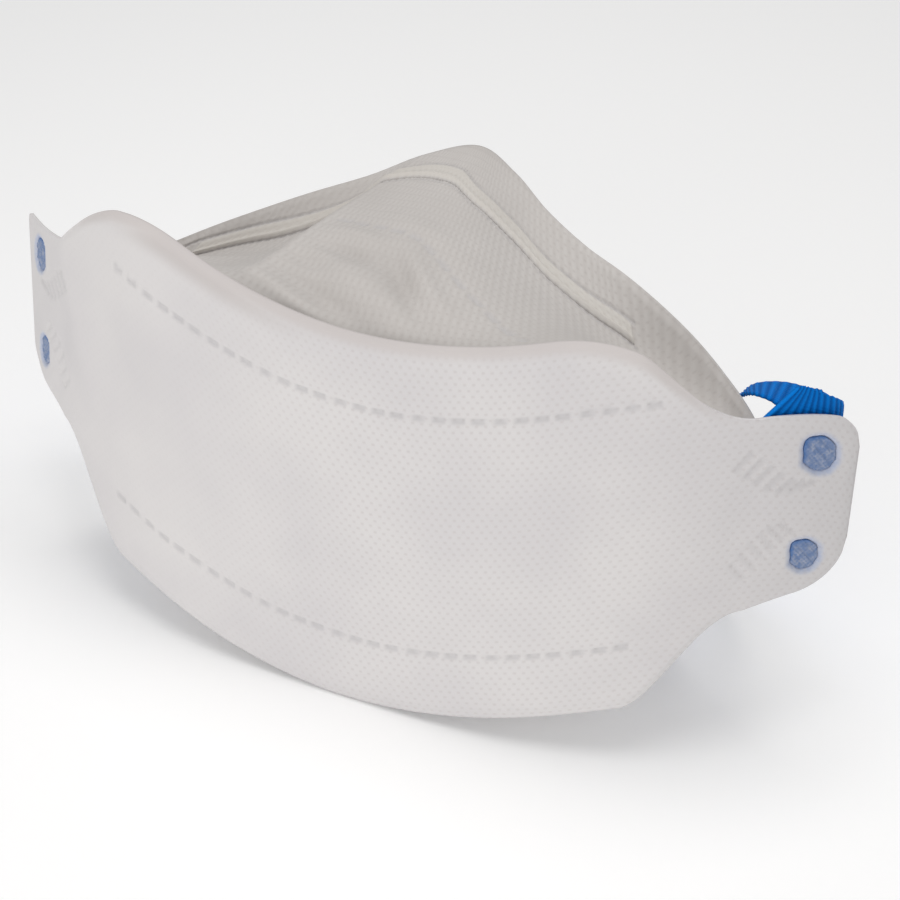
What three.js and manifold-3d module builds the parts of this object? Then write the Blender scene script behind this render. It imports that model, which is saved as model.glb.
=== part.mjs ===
// A three-panel fold-flat respirator mask, opened and standing on its chin panel.
// Millimetres, +Z up. X runs across the face, +Y goes into the mask, and the mask
// rests on z = 0. Every panel is one sheet of constant thickness over a mid-surface.

import * as THREE from "three";
import { mergeVertices } from "three/addons/utils/BufferGeometryUtils.js";
import Module from "manifold-3d";

const wasm = await Module();
wasm.setup();

// ---- driving dimensions -----------------------------------------------------

const seamGap = 0.3;            // clearance between pieces that touch on the real mask
const panelThickness = 1.5;     // the layered fleece of all three panels

const wallHeight = 88;          // centre panel, fold to fold
const foldHalf = 61.5;          // half the length of the two folds
const droopAlong = 44;          // from here the upper fold droops to its corners
const leftDroop = 3.5;
const rightDroop = 5;
const leftTabEnd = 109.6;       // half the flat width over the ear tabs
const rightTabEnd = 107.8;
const notchAlong = 85;          // where the sloped shoulders meet the tabs
const tabTop = 66.4;            // tab edges, above the lower fold
const tabBottom = 20.8;
const tabTopFlare = 0.08;       // the right tab's edges open out towards its end
const tabBottomFlare = 0.32;
const tabTopRadius = 6;
const tabBottomRadius = 12;
const leftShoulderPower = 1.25; // the left shoulder runs almost straight
const leftTabSlope = -0.246;    // the left tab dips past its notch and its corner
const leftTabCurl = 0.0164;     // is drawn out
const leftTabRadius = 2;

const wallClearance = 0.4;      // lower fold above the floor
const foldRise = 17.4;          // how far the folds climb at their highest
const foldRiseAlong = 83.6;     // and where that is
const leanMiddle = -6.8;        // degrees, the wall leans back
const leanLoss = 3.8;           // less of it towards the tabs
const leanSkew = 2.7;           // and less on the right than on the left

// Plan heading of the wall in degrees. The right tab is pulled in further.
const wallTurns = [
  { along: -108.3, turn: -43 },
  { along: -100, turn: -41.5 },
  { along: -80, turn: -31 },
  { along: -60, turn: -18.7 },
  { along: -30, turn: -5.5 },
  { along: 0, turn: 0 },
  { along: 30, turn: 4.5 },
  { along: 60, turn: 17.4 },
  { along: 80, turn: 33.4 },
  { along: 100, turn: 54.2 },
  { along: 108.3, turn: 63 },
];

const panelSeat = panelThickness + seamGap + 0.2;   // mid-surface to mid-surface at a seam

// Free edge of the top panel, over the nose, between its two seam ends.
const noseEdge = [
  { across: -74, back: 29, up: 74.6 },
  { across: -66.5, back: 33, up: 76.6 },
  { across: -58.5, back: 39, up: 79.6 },
  { across: -50, back: 45.5, up: 82.8 },
  { across: -41.5, back: 51.5, up: 85.6 },
  { across: -33, back: 57, up: 88.3 },
  { across: -22, back: 63.8, up: 91.4 },
  { across: -12, back: 71, up: 94.8 },
  { across: -1.5, back: 75.6, up: 96.8 },
  { across: 9, back: 71, up: 94.8 },
  { across: 19.5, back: 64, up: 91.6 },
  { across: 31, back: 58, up: 88.8 },
  { across: 40, back: 54.3, up: 87.2 },
  { across: 50, back: 49.5, up: 84.9 },
  { across: 60, back: 43.8, up: 82.2 },
  { across: 68.5, back: 38, up: 79.2 },
  { across: 76.5, back: 31.5, up: 76 },
];

// Free edge of the chin panel, which would sag a little below the floor.
const chinEdge = [
  { across: -77, back: 31.5, up: 42 },
  { across: -68, back: 38, up: 33 },
  { across: -56, back: 46, up: 22 },
  { across: -42, back: 54, up: 11 },
  { across: -28, back: 61, up: 2.5 },
  { across: -14, back: 65, up: -1.5 },
  { across: 0, back: 66, up: -1.5 },
  { across: 14, back: 65, up: -1.5 },
  { across: 28, back: 61, up: 2.5 },
  { across: 42, back: 54, up: 11 },
  { across: 56, back: 46, up: 22 },
  { across: 68, back: 38, up: 33 },
  { across: 77, back: 31.5, up: 42 },
];

// How each folded panel hangs between its seam on the wall and its free edge.
// share runs from the middle to the tab, edge is the same along the free edge.
const topRulings = [
  { share: 0, along: 0, height: 87, edge: 0 },
  { share: 0.22, along: 28, height: 87, edge: 0.09 },
  { share: 0.5, along: 61, height: 86.6, edge: 0.42 },
  { share: 0.66, along: 72, height: 75, edge: 0.6 },
  { share: 0.8, along: 81, height: 62.5, edge: 0.8 },
  { share: 0.9, along: 88, height: 55, edge: 0.91 },
  { share: 1, along: 94, height: 52.3, edge: 1 },
];
const chinRulings = [
  { share: 0, along: 0, height: 1, edge: 0 },
  { share: 0.22, along: 26, height: 1, edge: 0.16 },
  { share: 0.5, along: 61, height: 1.4, edge: 0.42 },
  { share: 0.66, along: 72, height: 11, edge: 0.6 },
  { share: 0.8, along: 81, height: 23, edge: 0.8 },
  { share: 0.9, along: 88, height: 36, edge: 0.91 },
  { share: 1, along: 94, height: 42.3, edge: 1 },
];
const topSeamEnd = { along: 95.5, height: 48.6 };
const chinSeamEnd = { along: 95.5, height: 45.6 };
const topPuff = 3.5;            // soft bulge of the top panel over the mouth
const topPuffShare = 0.3;
const topDip = 12;              // hollow of its two side facets
const rightDipShare = 0.54;
const rightDipReach = 0.47;
const ridgeShare = 0.24;        // a crease up the left side, with a valley beyond it
const valleyShare = 0.44;
const valleyReach = 0.5;
const valleyStart = 0.75;       // below 1, so the valley is already deep near the seam
const topSeamInset = 2.4;       // the top panel's seam lies below the wall's edge

// The nose strip's centre line, so far inside the nose edge.
const stripInsets = [
  { across: -0.64, inset: 6.6 },
  { across: -0.5, inset: 8.5 },
  { across: -0.38, inset: 10.2 },
  { across: -0.2, inset: 11.4 },
  { across: 0, inset: 13 },
  { across: 0.13, inset: 17.4 },
  { across: 0.3, inset: 16.6 },
  { across: 0.45, inset: 13.3 },
  { across: 0.6, inset: 11.2 },
];
const stripWidth = 5.6;
const stripThickness = 1;
const stripLeft = -0.64;        // how far across the panel it runs
const stripRight = 0.54;

const weldRadius = 4;           // spots that fuse the straps to the tabs
const weldThickness = 1.3;
const weldSpots = {
  head: { along: 98.4, height: 58.8 },
  neck: { along: 97.2, height: 34.2 },
};

const strapWidth = 12.4;
const strapThickness = 1;
const strapSeat = panelThickness / 2 + seamGap + strapThickness / 2;
const strapFloor = strapWidth / 2 + 0.4;   // centre of a strap that stands on the floor

// Strap stations on the tabs: along and height on the wall, depth behind it, and
// which way the band's upper edge points in the same three directions.
const headRightTab = [
  { along: 89.1, height: 67.5, depth: strapSeat, tipAlong: 0.69, tipHeight: 0.72, tipDepth: 0 },
  { along: 93.6, height: 66.3, depth: strapSeat, tipAlong: 0.33, tipHeight: 0.94, tipDepth: 0 },
  { along: 98, height: 65.6, depth: strapSeat, tipAlong: 0.05, tipHeight: 1, tipDepth: 0 },
  { along: 102.4, height: 65, depth: 1.7, tipAlong: 0, tipHeight: 1, tipDepth: 0 },
  { along: 105.6, height: 64, depth: 3.3, tipAlong: 0, tipHeight: 1, tipDepth: 0 },
  { along: 107.2, height: 62.4, depth: 6.4, tipAlong: 0, tipHeight: 1, tipDepth: 0.05 },
  { along: 106.4, height: 61, depth: 9.8, tipAlong: 0.1, tipHeight: 0.96, tipDepth: 0.2 },
];
const headLeftTab = [
  { along: 104.5, height: 53, depth: 9.5, tipAlong: 0, tipHeight: -1, tipDepth: 0 },
  { along: 107, height: 56, depth: 6, tipAlong: 0, tipHeight: -1, tipDepth: 0 },
  { along: 105, height: 57.2, depth: 2.6, tipAlong: 0, tipHeight: -1, tipDepth: 0 },
  { along: 101, height: 57.2, depth: strapSeat, tipAlong: 0, tipHeight: -1, tipDepth: 0 },
  { along: 95, height: 57, depth: strapSeat, tipAlong: 0, tipHeight: -1, tipDepth: 0 },
];
const neckTab = [
  { along: 94.2, height: 34.6, depth: strapSeat, tipAlong: 0, tipHeight: 1, tipDepth: 0 },
  { along: 99.5, height: 34.6, depth: strapSeat, tipAlong: 0, tipHeight: 1, tipDepth: 0 },
  { along: 103, height: 34.6, depth: 2.4, tipAlong: 0, tipHeight: 1, tipDepth: 0 },
  { along: 105, height: 34.2, depth: 5.5, tipAlong: 0, tipHeight: 1, tipDepth: 0 },
  { along: 103, height: 33.5, depth: 9, tipAlong: 0, tipHeight: 1, tipDepth: 0 },
];

// The free stretches, from the right tab down to the floor behind the mask.
const headFree = [
  { across: 86, back: 42.6, up: 70.6, tipX: 0, tipY: 0.8, tipZ: 0.6 },
  { across: 83, back: 41.6, up: 74.4, tipX: 0, tipY: 0.97, tipZ: 0 },
  { across: 78.6, back: 40.2, up: 77, tipX: -0.1, tipY: 0.95, tipZ: -0.25 },
  { across: 74, back: 40.6, up: 76.2, tipX: -0.24, tipY: 0.88, tipZ: -0.4 },
  { across: 69.6, back: 45, up: 70.6, tipX: -0.22, tipY: 0.78, tipZ: -0.58 },
  { across: 61, back: 56, up: 56, tipX: 0, tipY: 0.6, tipZ: -0.8 },
  { across: 50, back: 72, up: 36, tipX: 0.1, tipY: 0.2, tipZ: -1 },
  { across: 36, back: 88, up: 17, tipX: 0, tipY: 0, tipZ: -1 },
  { across: 18, back: 98, up: 7.8, tipX: 0, tipY: 0, tipZ: -1 },
  { across: 0, back: 101, up: strapFloor, tipX: 0, tipY: 0, tipZ: -1 },
  { across: -18, back: 98.5, up: strapFloor, tipX: 0, tipY: 0, tipZ: -1 },
  { across: -38, back: 91, up: 10.2, tipX: 0, tipY: 0, tipZ: -1 },
  { across: -57, back: 78, up: 22, tipX: 0, tipY: 0, tipZ: -1 },
  { across: -72, back: 63, up: 38, tipX: 0, tipY: 0, tipZ: -1 },
  { across: -82, back: 51, up: 54, tipX: 0, tipY: 0, tipZ: -1 },
];
const neckFree = [
  { across: 79, back: 50, up: 34, tipX: 0, tipY: 0, tipZ: 1 },
  { across: 68, back: 62, up: 18.6, tipX: 0, tipY: 0, tipZ: 1 },
  { across: 52, back: 74, up: 9.2, tipX: 0, tipY: 0, tipZ: 1 },
  { across: 28, back: 84, up: strapFloor, tipX: 0, tipY: 0, tipZ: 1 },
  { across: 0, back: 88, up: strapFloor, tipX: 0, tipY: 0, tipZ: 1 },
];

const colours = {
  panel: "#dcd8d8",
  top: "#cfc9c4",
  strip: "#d8d2c8",
  strap: "#1463bd",
  weld: "#7f9cc6",
};

// ---- the wall's mid-surface -------------------------------------------------

const degrees = Math.PI / 180;
const turnStep = 0.5;           // mm, step of the plan curve's integration

function between(rows, key, value, at) {
  const last = rows.length - 1;
  let row = 0;
  while (row < last - 1 && at > rows[row + 1][key]) {
    row += 1;
  }
  const low = rows[row];
  const high = rows[row + 1];
  const part = (at - low[key]) / (high[key] - low[key]);
  return low[value] + (high[value] - low[value]) * part;
}

// The same rows read along one smooth curve through all of them.
function smoothly(rows, key, value, at) {
  const last = rows.length - 1;
  let row = 0;
  while (row < last - 1 && at > rows[row + 1][key]) {
    row += 1;
  }
  const slope = (index) => {
    const low = rows[Math.max(0, index - 1)];
    const high = rows[Math.min(last, index + 1)];
    return (high[value] - low[value]) / (high[key] - low[key]);
  };
  const width = rows[row + 1][key] - rows[row][key];
  const part = (at - rows[row][key]) / width;
  const rise = rows[row + 1][value] - rows[row][value];
  const start = slope(row) * width;
  const end = slope(row + 1) * width;
  const curve = start * part + (3 * rise - 2 * start - end) * part ** 2;
  return rows[row][value] + curve + (start + end - 2 * rise) * part ** 3;
}

function heading(along) {
  return between(wallTurns, "along", "turn", along) * degrees;
}

function plan(along) {
  const steps = Math.max(1, Math.ceil(Math.abs(along) / turnStep));
  const step = along / steps;
  const place = new THREE.Vector2();
  for (let count = 0; count < steps; count += 1) {
    const turn = heading((count + 0.5) * step);
    place.x += Math.cos(turn) * step;
    place.y += Math.sin(turn) * step;
  }
  return place;
}

function wallPoint(along, height, depth = 0) {
  const side = along / 100;
  const lean = (leanMiddle + leanLoss * side * side + leanSkew * side) * degrees;
  const turn = heading(along);
  const climb = (along / foldRiseAlong) ** 2;
  const lift = wallClearance + foldRise * (2 * climb - climb * climb);
  const out = new THREE.Vector3(Math.sin(turn), -Math.cos(turn), 0);
  const foot = plan(along);
  const inward = new THREE.Vector3(0, 0, Math.sin(lean)).addScaledVector(out, -Math.cos(lean));
  const point = new THREE.Vector3(foot.x, foot.y, lift + height * Math.cos(lean));
  return point.addScaledVector(out, height * Math.sin(lean)).addScaledVector(inward, depth);
}

function upperEdge(along) {
  const from = Math.abs(along);
  const droop = along < 0 ? leftDroop : rightDroop;
  const sag = Math.min(1, Math.max(0, (from - droopAlong) / (foldHalf - droopAlong)));
  const fold = wallHeight - droop * sag * sag;
  if (from <= foldHalf) {
    return fold;
  }
  const past = from - notchAlong;
  if (past <= 0) {
    const part = (from - foldHalf) / (notchAlong - foldHalf);
    const drop = along < 0 ? part ** leftShoulderPower : Math.sin(part * Math.PI / 2) ** 1.2;
    return fold + (tabTop - fold) * drop;
  }
  if (along < 0) {
    const edge = tabTop + past * leftTabSlope + past * past * leftTabCurl;
    return edge - cornerDrop(from, leftTabEnd, leftTabRadius);
  }
  return tabTop + past * tabTopFlare - cornerDrop(from, rightTabEnd, tabTopRadius);
}

function lowerEdge(along) {
  const from = Math.abs(along);
  if (from <= foldHalf) {
    return 0;
  }
  if (from <= notchAlong) {
    const part = (from - foldHalf) / (notchAlong - foldHalf);
    return tabBottom * Math.sin(part * Math.PI / 2) ** 1.6;
  }
  const edge = tabBottom + (from - notchAlong) * tabBottomFlare;
  return edge + cornerDrop(from, along < 0 ? leftTabEnd : rightTabEnd, tabBottomRadius);
}

function cornerDrop(from, end, radius) {
  const into = Math.min(radius, Math.max(0, from - (end - radius)));
  return radius - Math.sqrt(radius * radius - into * into);
}

// ---- solids -----------------------------------------------------------------

// A closed sheet over a grid: place(column, row, side) gives the two faces, and
// side +1 is the face that columns cross rows points out of.
function sheetSolid(place, columns, rows) {
  const points = [];
  for (const side of [1, -1]) {
    for (let column = 0; column <= columns; column += 1) {
      for (let row = 0; row <= rows; row += 1) {
        points.push(...place(column, row, side).toArray());
      }
    }
  }
  const faceSize = (columns + 1) * (rows + 1);
  const at = (column, row, side) => column * (rows + 1) + row + (side > 0 ? 0 : faceSize);
  const faces = [];
  const quad = (a, b, c, d) => faces.push(a, b, c, a, c, d);
  for (let column = 0; column < columns; column += 1) {
    for (let row = 0; row < rows; row += 1) {
      const next = column + 1;
      const above = row + 1;
      quad(at(column, row, 1), at(next, row, 1), at(next, above, 1), at(column, above, 1));
      quad(at(column, row, -1), at(column, above, -1), at(next, above, -1), at(next, row, -1));
    }
    quad(at(column, 0, 1), at(column, 0, -1), at(column + 1, 0, -1), at(column + 1, 0, 1));
    quad(at(column, rows, 1), at(column + 1, rows, 1), at(column + 1, rows, -1), at(column, rows, -1));
  }
  for (let row = 0; row < rows; row += 1) {
    quad(at(0, row, 1), at(0, row + 1, 1), at(0, row + 1, -1), at(0, row, -1));
    quad(at(columns, row, 1), at(columns, row, -1), at(columns, row + 1, -1), at(columns, row + 1, 1));
  }
  const geometry = new THREE.BufferGeometry();
  geometry.setAttribute("position", new THREE.Float32BufferAttribute(points, 3));
  geometry.setIndex(faces);
  return geometry;
}

// A point off a folded panel's mid-surface, along its normal.
function offSurface(surface, across, out, distance) {
  const nudge = 0.004;
  const span = (from, to) => new THREE.Vector3().subVectors(to, from);
  const sideways = span(
    surface(Math.max(-1, across - nudge), out),
    surface(Math.min(1, across + nudge), out),
  );
  const outwards = span(
    surface(across, Math.max(0, out - nudge)),
    surface(across, Math.min(1, out + nudge)),
  );
  const normal = sideways.cross(outwards).normalize();
  return surface(across, out).addScaledVector(normal, distance);
}

function toManifold(geometry) {
  const bare = geometry.clone();
  bare.deleteAttribute("normal");
  bare.deleteAttribute("uv");
  const merged = mergeVertices(bare, 1e-4);
  return new wasm.Manifold(new wasm.Mesh({
    numProp: 3,
    vertProperties: new Float32Array(merged.attributes.position.array),
    triVerts: new Uint32Array(merged.index.array),
  }));
}

function fromManifold(solid) {
  const mesh = solid.getMesh();
  const geometry = new THREE.BufferGeometry();
  geometry.setAttribute("position", new THREE.Float32BufferAttribute(mesh.vertProperties, 3));
  geometry.setIndex(new THREE.Uint32BufferAttribute(mesh.triVerts, 1));
  return geometry;
}

function weldDisc(along, height, radius, thickness) {
  const disc = new THREE.CylinderGeometry(radius, radius, thickness, 16);
  const centre = wallPoint(along, height);
  const inward = wallPoint(along, height, 1).sub(centre);
  disc.applyQuaternion(new THREE.Quaternion().setFromUnitVectors(new THREE.Vector3(0, 1, 0), inward));
  disc.translate(centre.x, centre.y, centre.z);
  return disc;
}

// ---- centre panel -----------------------------------------------------------

function sideColumns(end) {
  const stops = [0, 8, 16, 24, 32, 40, 47, 54, foldHalf];
  for (let step = 1; step <= 7; step += 1) {
    stops.push(foldHalf + (notchAlong - foldHalf) * step / 7);
  }
  stops.push(88, 91.5);
  for (let step = 0; step <= 7; step += 1) {
    stops.push(end - tabBottomRadius * Math.cos(step / 7 * Math.PI / 2));
  }
  return stops;
}

function wallColumns() {
  const left = sideColumns(leftTabEnd).slice(1).reverse().map((along) => -along);
  return left.concat(sideColumns(rightTabEnd));
}

function centrePanel() {
  const stops = wallColumns();
  const rows = 11;
  const place = (column, row, side) => {
    const along = stops[column];
    const low = lowerEdge(along);
    const height = low + (upperEdge(along) - low) * row / rows;
    return wallPoint(along, height, -side * panelThickness / 2);
  };
  let solid = toManifold(sheetSolid(place, stops.length - 1, rows));
  for (const side of [-1, 1]) {
    for (const spot of Object.values(weldSpots)) {
      const hole = weldDisc(side * spot.along, spot.height, weldRadius + seamGap, 4 * panelThickness);
      solid = solid.subtract(toManifold(hole));
    }
  }
  return fromManifold(solid);
}

// ---- folded panels ----------------------------------------------------------

// The mid-surface of a panel that hangs from its seam on the wall to a free edge:
// across runs from -1 at the left tab to 1 at the right, out from 0 at the seam.
function foldedSurface(rulings, edgeRows, seamEnd, settle) {
  const edge = new THREE.CatmullRomCurve3([
    wallPoint(-seamEnd.along, seamEnd.height, panelSeat),
    ...edgeRows.map((row) => new THREE.Vector3(row.across, row.back, row.up)),
    wallPoint(seamEnd.along, seamEnd.height, panelSeat),
  ]);
  return (across, out) => {
    const side = Math.sign(across);
    const share = Math.abs(across);
    const along = side * smoothly(rulings, "share", "along", share);
    const height = Math.min(smoothly(rulings, "share", "height", share), upperEdge(along) - topSeamInset);
    const seam = wallPoint(along, height, panelSeat);
    const free = edge.getPoint((1 + side * smoothly(rulings, "share", "edge", share)) / 2);
    return settle(seam.lerp(free, out), across, out);
  };
}

function shapeTop(point, across, out) {
  const middle = Math.max(0, 1 - (across / topPuffShare) ** 2);
  const facet = across < 0 ? valley(-across) : hollow(across);
  const puff = topPuff * middle * middle * Math.sin(Math.PI * out) * (1 - out) * 2;
  const low = Math.sin(Math.PI * out ** 1.2);
  const deep = across < 0 ? Math.max(low, Math.sin(Math.PI * out ** valleyStart)) : low;
  point.z += puff - topDip * Math.max(0, facet) * deep;
  return point;
}

// The right side's soft hollow.
function hollow(share) {
  const aside = Math.min(1, Math.abs(share - rightDipShare) / rightDipReach);
  return (1 + Math.cos(Math.PI * aside)) / 2;
}

// How deep the left side has fallen, from the crease outwards.
function valley(share) {
  const slope = (valleyShare - share) / (share < valleyShare ? valleyShare - ridgeShare : valleyReach);
  return share < ridgeShare ? 0 : 1 - slope ** 2;
}

function restOnFloor(point) {
  point.z = Math.max(point.z, panelThickness / 2);
  return point;
}

const topSurface = foldedSurface(topRulings, noseEdge, topSeamEnd, shapeTop);
const chinSurface = foldedSurface(chinRulings, chinEdge, chinSeamEnd, restOnFloor);

function foldedPanel(surface, columns, rows) {
  const place = (column, row, side) => {
    const across = 2 * column / columns - 1;
    return offSurface(surface, across, row / rows, side * panelThickness / 2);
  };
  return sheetSolid(place, columns, rows);
}

// ---- nose strip -------------------------------------------------------------

function noseStrip() {
  const columns = 59;
  const rows = 3;
  const place = (column, row, side) => {
    const across = stripLeft + (stripRight - stripLeft) * column / columns;
    const inset = smoothly(stripInsets, "across", "inset", across) + stripWidth * (0.5 - row / rows);
    const length = topSurface(across, 0).distanceTo(topSurface(across, 1));
    const rise = (panelThickness + stripThickness + side * stripThickness) / 2 + seamGap;
    return offSurface(topSurface, across, 1 - inset / length, rise);
  };
  return sheetSolid(place, columns, rows);
}

// ---- straps -----------------------------------------------------------------

// A strap station: its centre, and which way the band's upper edge points.
function tabStation(side, row) {
  const at = wallPoint(side * row.along, row.height, row.depth);
  const tip = wallPoint(
    side * (row.along + row.tipAlong),
    row.height + row.tipHeight,
    row.depth + row.tipDepth,
  );
  return { at, tip: tip.sub(at).normalize() };
}

function freeStation(side, row) {
  return {
    at: new THREE.Vector3(side * row.across, row.back, row.up),
    tip: new THREE.Vector3(row.tipX, row.tipY, row.tipZ).normalize(),
  };
}

function strapSolid(stations) {
  const columns = 3 * (stations.length - 1);
  const centre = new THREE.CatmullRomCurve3(stations.map((station) => station.at));
  const edge = new THREE.CatmullRomCurve3(
    stations.map((station) => station.at.clone().addScaledVector(station.tip, strapWidth / 2)),
  );
  const rows = 1;
  const place = (column, row, side) => {
    const at = centre.getPoint(column / columns);
    const tip = edge.getPoint(column / columns).sub(at).normalize();
    const face = centre.getTangent(column / columns).cross(tip).normalize();
    at.addScaledVector(tip, strapWidth * (row / rows - 0.5));
    return at.addScaledVector(face, side * strapThickness / 2);
  };
  return sheetSolid(place, columns, rows);
}

function headStrap() {
  return strapSolid([
    ...headRightTab.map((row) => tabStation(1, row)),
    ...headFree.map((row) => freeStation(1, row)),
    ...headLeftTab.map((row) => tabStation(-1, row)),
  ]);
}

function neckStrap() {
  const right = [...neckTab.map((row) => tabStation(1, row)), ...neckFree.map((row) => freeStation(1, row))];
  const left = [...neckTab.map((row) => tabStation(-1, row)), ...neckFree.map((row) => freeStation(-1, row))];
  return strapSolid([...right, ...left.slice(0, -1).reverse()]);
}

// ---- assembly ---------------------------------------------------------------

const mask = new THREE.Group();

function add(name, geometry, color, roughness) {
  geometry.computeVertexNormals();
  const material = new THREE.MeshStandardMaterial({ color, roughness, metalness: 0 });
  const mesh = new THREE.Mesh(geometry, material);
  mesh.name = name;
  mask.add(mesh);
}

add("centre_panel", centrePanel(), colours.panel, 0.85);
add("top_panel", foldedPanel(topSurface, 50, 11), colours.top, 0.85);
add("chin_panel", foldedPanel(chinSurface, 44, 9), colours.panel, 0.85);
add("nose_strip", noseStrip(), colours.strip, 0.7);
add("head_strap", headStrap(), colours.strap, 0.75);
add("neck_strap", neckStrap(), colours.strap, 0.75);

for (const [strap, spot] of Object.entries(weldSpots)) {
  for (const [name, side] of [["left", -1], ["right", 1]]) {
    const disc = weldDisc(side * spot.along, spot.height, weldRadius, weldThickness);
    add(`${strap}_weld_${name}`, disc, colours.weld, 0.6);
  }
}

// The origin lies on the floor, under the middle of the mask's box.
const extent = new THREE.Box3().setFromObject(mask, true);
const middle = extent.getCenter(new THREE.Vector3());
mask.position.set(-middle.x, -middle.y, -extent.min.z);

export default mask;
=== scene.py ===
# A fold-flat respirator mask, opened and resting on its chin panel.
# Sizes are in millimetres, measured from the foot of the front panel's middle;
# toFrame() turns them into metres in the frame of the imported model.

import math

import bmesh
import bpy
from mathutils import Matrix, Vector


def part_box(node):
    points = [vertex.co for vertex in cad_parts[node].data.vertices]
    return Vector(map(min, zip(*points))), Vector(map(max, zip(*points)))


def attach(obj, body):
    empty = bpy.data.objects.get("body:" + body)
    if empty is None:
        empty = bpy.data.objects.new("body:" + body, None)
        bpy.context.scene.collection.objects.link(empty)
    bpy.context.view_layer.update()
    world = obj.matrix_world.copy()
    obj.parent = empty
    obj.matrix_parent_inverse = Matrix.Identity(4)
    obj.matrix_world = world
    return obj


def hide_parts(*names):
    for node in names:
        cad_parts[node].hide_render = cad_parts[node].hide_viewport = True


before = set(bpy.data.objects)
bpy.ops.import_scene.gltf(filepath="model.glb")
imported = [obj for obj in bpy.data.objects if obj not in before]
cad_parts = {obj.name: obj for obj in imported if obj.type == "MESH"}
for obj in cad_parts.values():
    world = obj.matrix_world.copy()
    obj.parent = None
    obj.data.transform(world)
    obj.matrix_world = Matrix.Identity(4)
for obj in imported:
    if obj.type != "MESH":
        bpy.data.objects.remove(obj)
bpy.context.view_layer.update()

mm = 0.001


def smooth(value, low=0.0, high=1.0):
    part = min(1.0, max(0.0, (value - low) / (high - low)))
    return part * part * (3 - 2 * part)


def between(rows, key, name, at):
    row = 0
    while row < len(rows) - 2 and at > rows[row + 1][key]:
        row += 1
    low, high = rows[row], rows[row + 1]
    part = (at - low[key]) / (high[key] - low[key])
    return low[name] + (high[name] - low[name]) * part


# The same rows read along one smooth curve through all of them.
def smoothly(rows, key, name, at):
    last, row = len(rows) - 1, 0
    while row < last - 1 and at > rows[row + 1][key]:
        row += 1

    def slope(index):
        low, high = rows[max(0, index - 1)], rows[min(last, index + 1)]
        return (high[name] - low[name]) / (high[key] - low[key])

    width = rows[row + 1][key] - rows[row][key]
    part = (at - rows[row][key]) / width
    rise = rows[row + 1][name] - rows[row][name]
    start, end = slope(row) * width, slope(row + 1) * width
    curve = start * part + (3 * rise - 2 * start - end) * part ** 2
    return rows[row][name] + curve + (start + end - 2 * rise) * part ** 3


def table(keys, *rows):
    return [dict(zip(keys.split(), row)) for row in rows]


# The front panel's own shape, flat and bent.

wall = {
    "thickness": 1.5,
    "height": 88,
    "foldHalf": 61.5,
    "droopAlong": 44,
    "leftDroop": 3.5,
    "rightDroop": 5,
    "leftTabEnd": 109.6,
    "rightTabEnd": 107.8,
    "notchAlong": 85,
    "tabTop": 66.4,
    "tabBottom": 20.8,
    "tabTopFlare": 0.08,
    "tabBottomFlare": 0.32,
    "tabTopRadius": 6,
    "tabBottomRadius": 12,
    "leftShoulderPower": 1.25,
    "leftTabSlope": -0.246,
    "leftTabCurl": 0.0164,
    "leftTabRadius": 2,
    "clearance": 0.4,
    "foldRise": 17.4,
    "foldRiseAlong": 83.6,
    "leanMiddle": -6.8,
    "leanLoss": 3.8,
    "leanSkew": 2.7,
}
wallTurns = table(
    "along turn",
    (-108.3, -43), (-100, -41.5), (-80, -31), (-60, -18.7), (-30, -5.5), (0, 0),
    (30, 4.5), (60, 17.4), (80, 33.4), (100, 54.2), (108.3, 63),
)


def heading(along):
    return math.radians(between(wallTurns, "along", "turn", along))


def planPlaces(step, reach):
    places = {0: Vector((0, 0))}
    for side in (-1, 1):
        place = Vector((0, 0))
        for count in range(int(reach / step)):
            turn = heading(side * (count + 0.5) * step)
            place = place + Vector((math.cos(turn), math.sin(turn))) * side * step
            places[side * (count + 1)] = place
    return places


planStep = 0.25
planRow = planPlaces(planStep, 112)


def wallPoint(along, height, depth=0.0):
    side = along / 100
    lean = math.radians(wall["leanMiddle"] + wall["leanLoss"] * side * side + wall["leanSkew"] * side)
    turn = heading(along)
    climb = (along / wall["foldRiseAlong"]) ** 2
    lift = wall["clearance"] + wall["foldRise"] * (2 * climb - climb * climb)
    out = Vector((math.sin(turn), -math.cos(turn), 0))
    stop = math.floor(along / planStep)
    foot = planRow[stop].lerp(planRow[stop + 1], along / planStep - stop)
    inward = Vector((0, 0, math.sin(lean))) - out * math.cos(lean)
    point = Vector((foot.x, foot.y, lift + height * math.cos(lean)))
    return point + out * height * math.sin(lean) + inward * depth


def tabEnd(along):
    return wall["leftTabEnd"] if along < 0 else wall["rightTabEnd"]


def cornerDrop(along, radius):
    into = min(radius, max(0.0, abs(along) - (tabEnd(along) - radius)))
    return radius - math.sqrt(radius * radius - into * into)


def upperEdge(along):
    distance = abs(along)
    droop = wall["leftDroop"] if along < 0 else wall["rightDroop"]
    sag = min(1, max(0, (distance - wall["droopAlong"]) / (wall["foldHalf"] - wall["droopAlong"])))
    fold = wall["height"] - droop * sag * sag
    if distance <= wall["foldHalf"]:
        return fold
    past = distance - wall["notchAlong"]
    if past <= 0:
        part = (distance - wall["foldHalf"]) / (wall["notchAlong"] - wall["foldHalf"])
        drop = part ** wall["leftShoulderPower"] if along < 0 else math.sin(part * math.pi / 2) ** 1.2
        return fold + (wall["tabTop"] - fold) * drop
    if along < 0:
        edge = wall["tabTop"] + past * wall["leftTabSlope"] + past * past * wall["leftTabCurl"]
        return edge - cornerDrop(along, wall["leftTabRadius"])
    return wall["tabTop"] + past * wall["tabTopFlare"] - cornerDrop(along, wall["tabTopRadius"])


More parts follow.
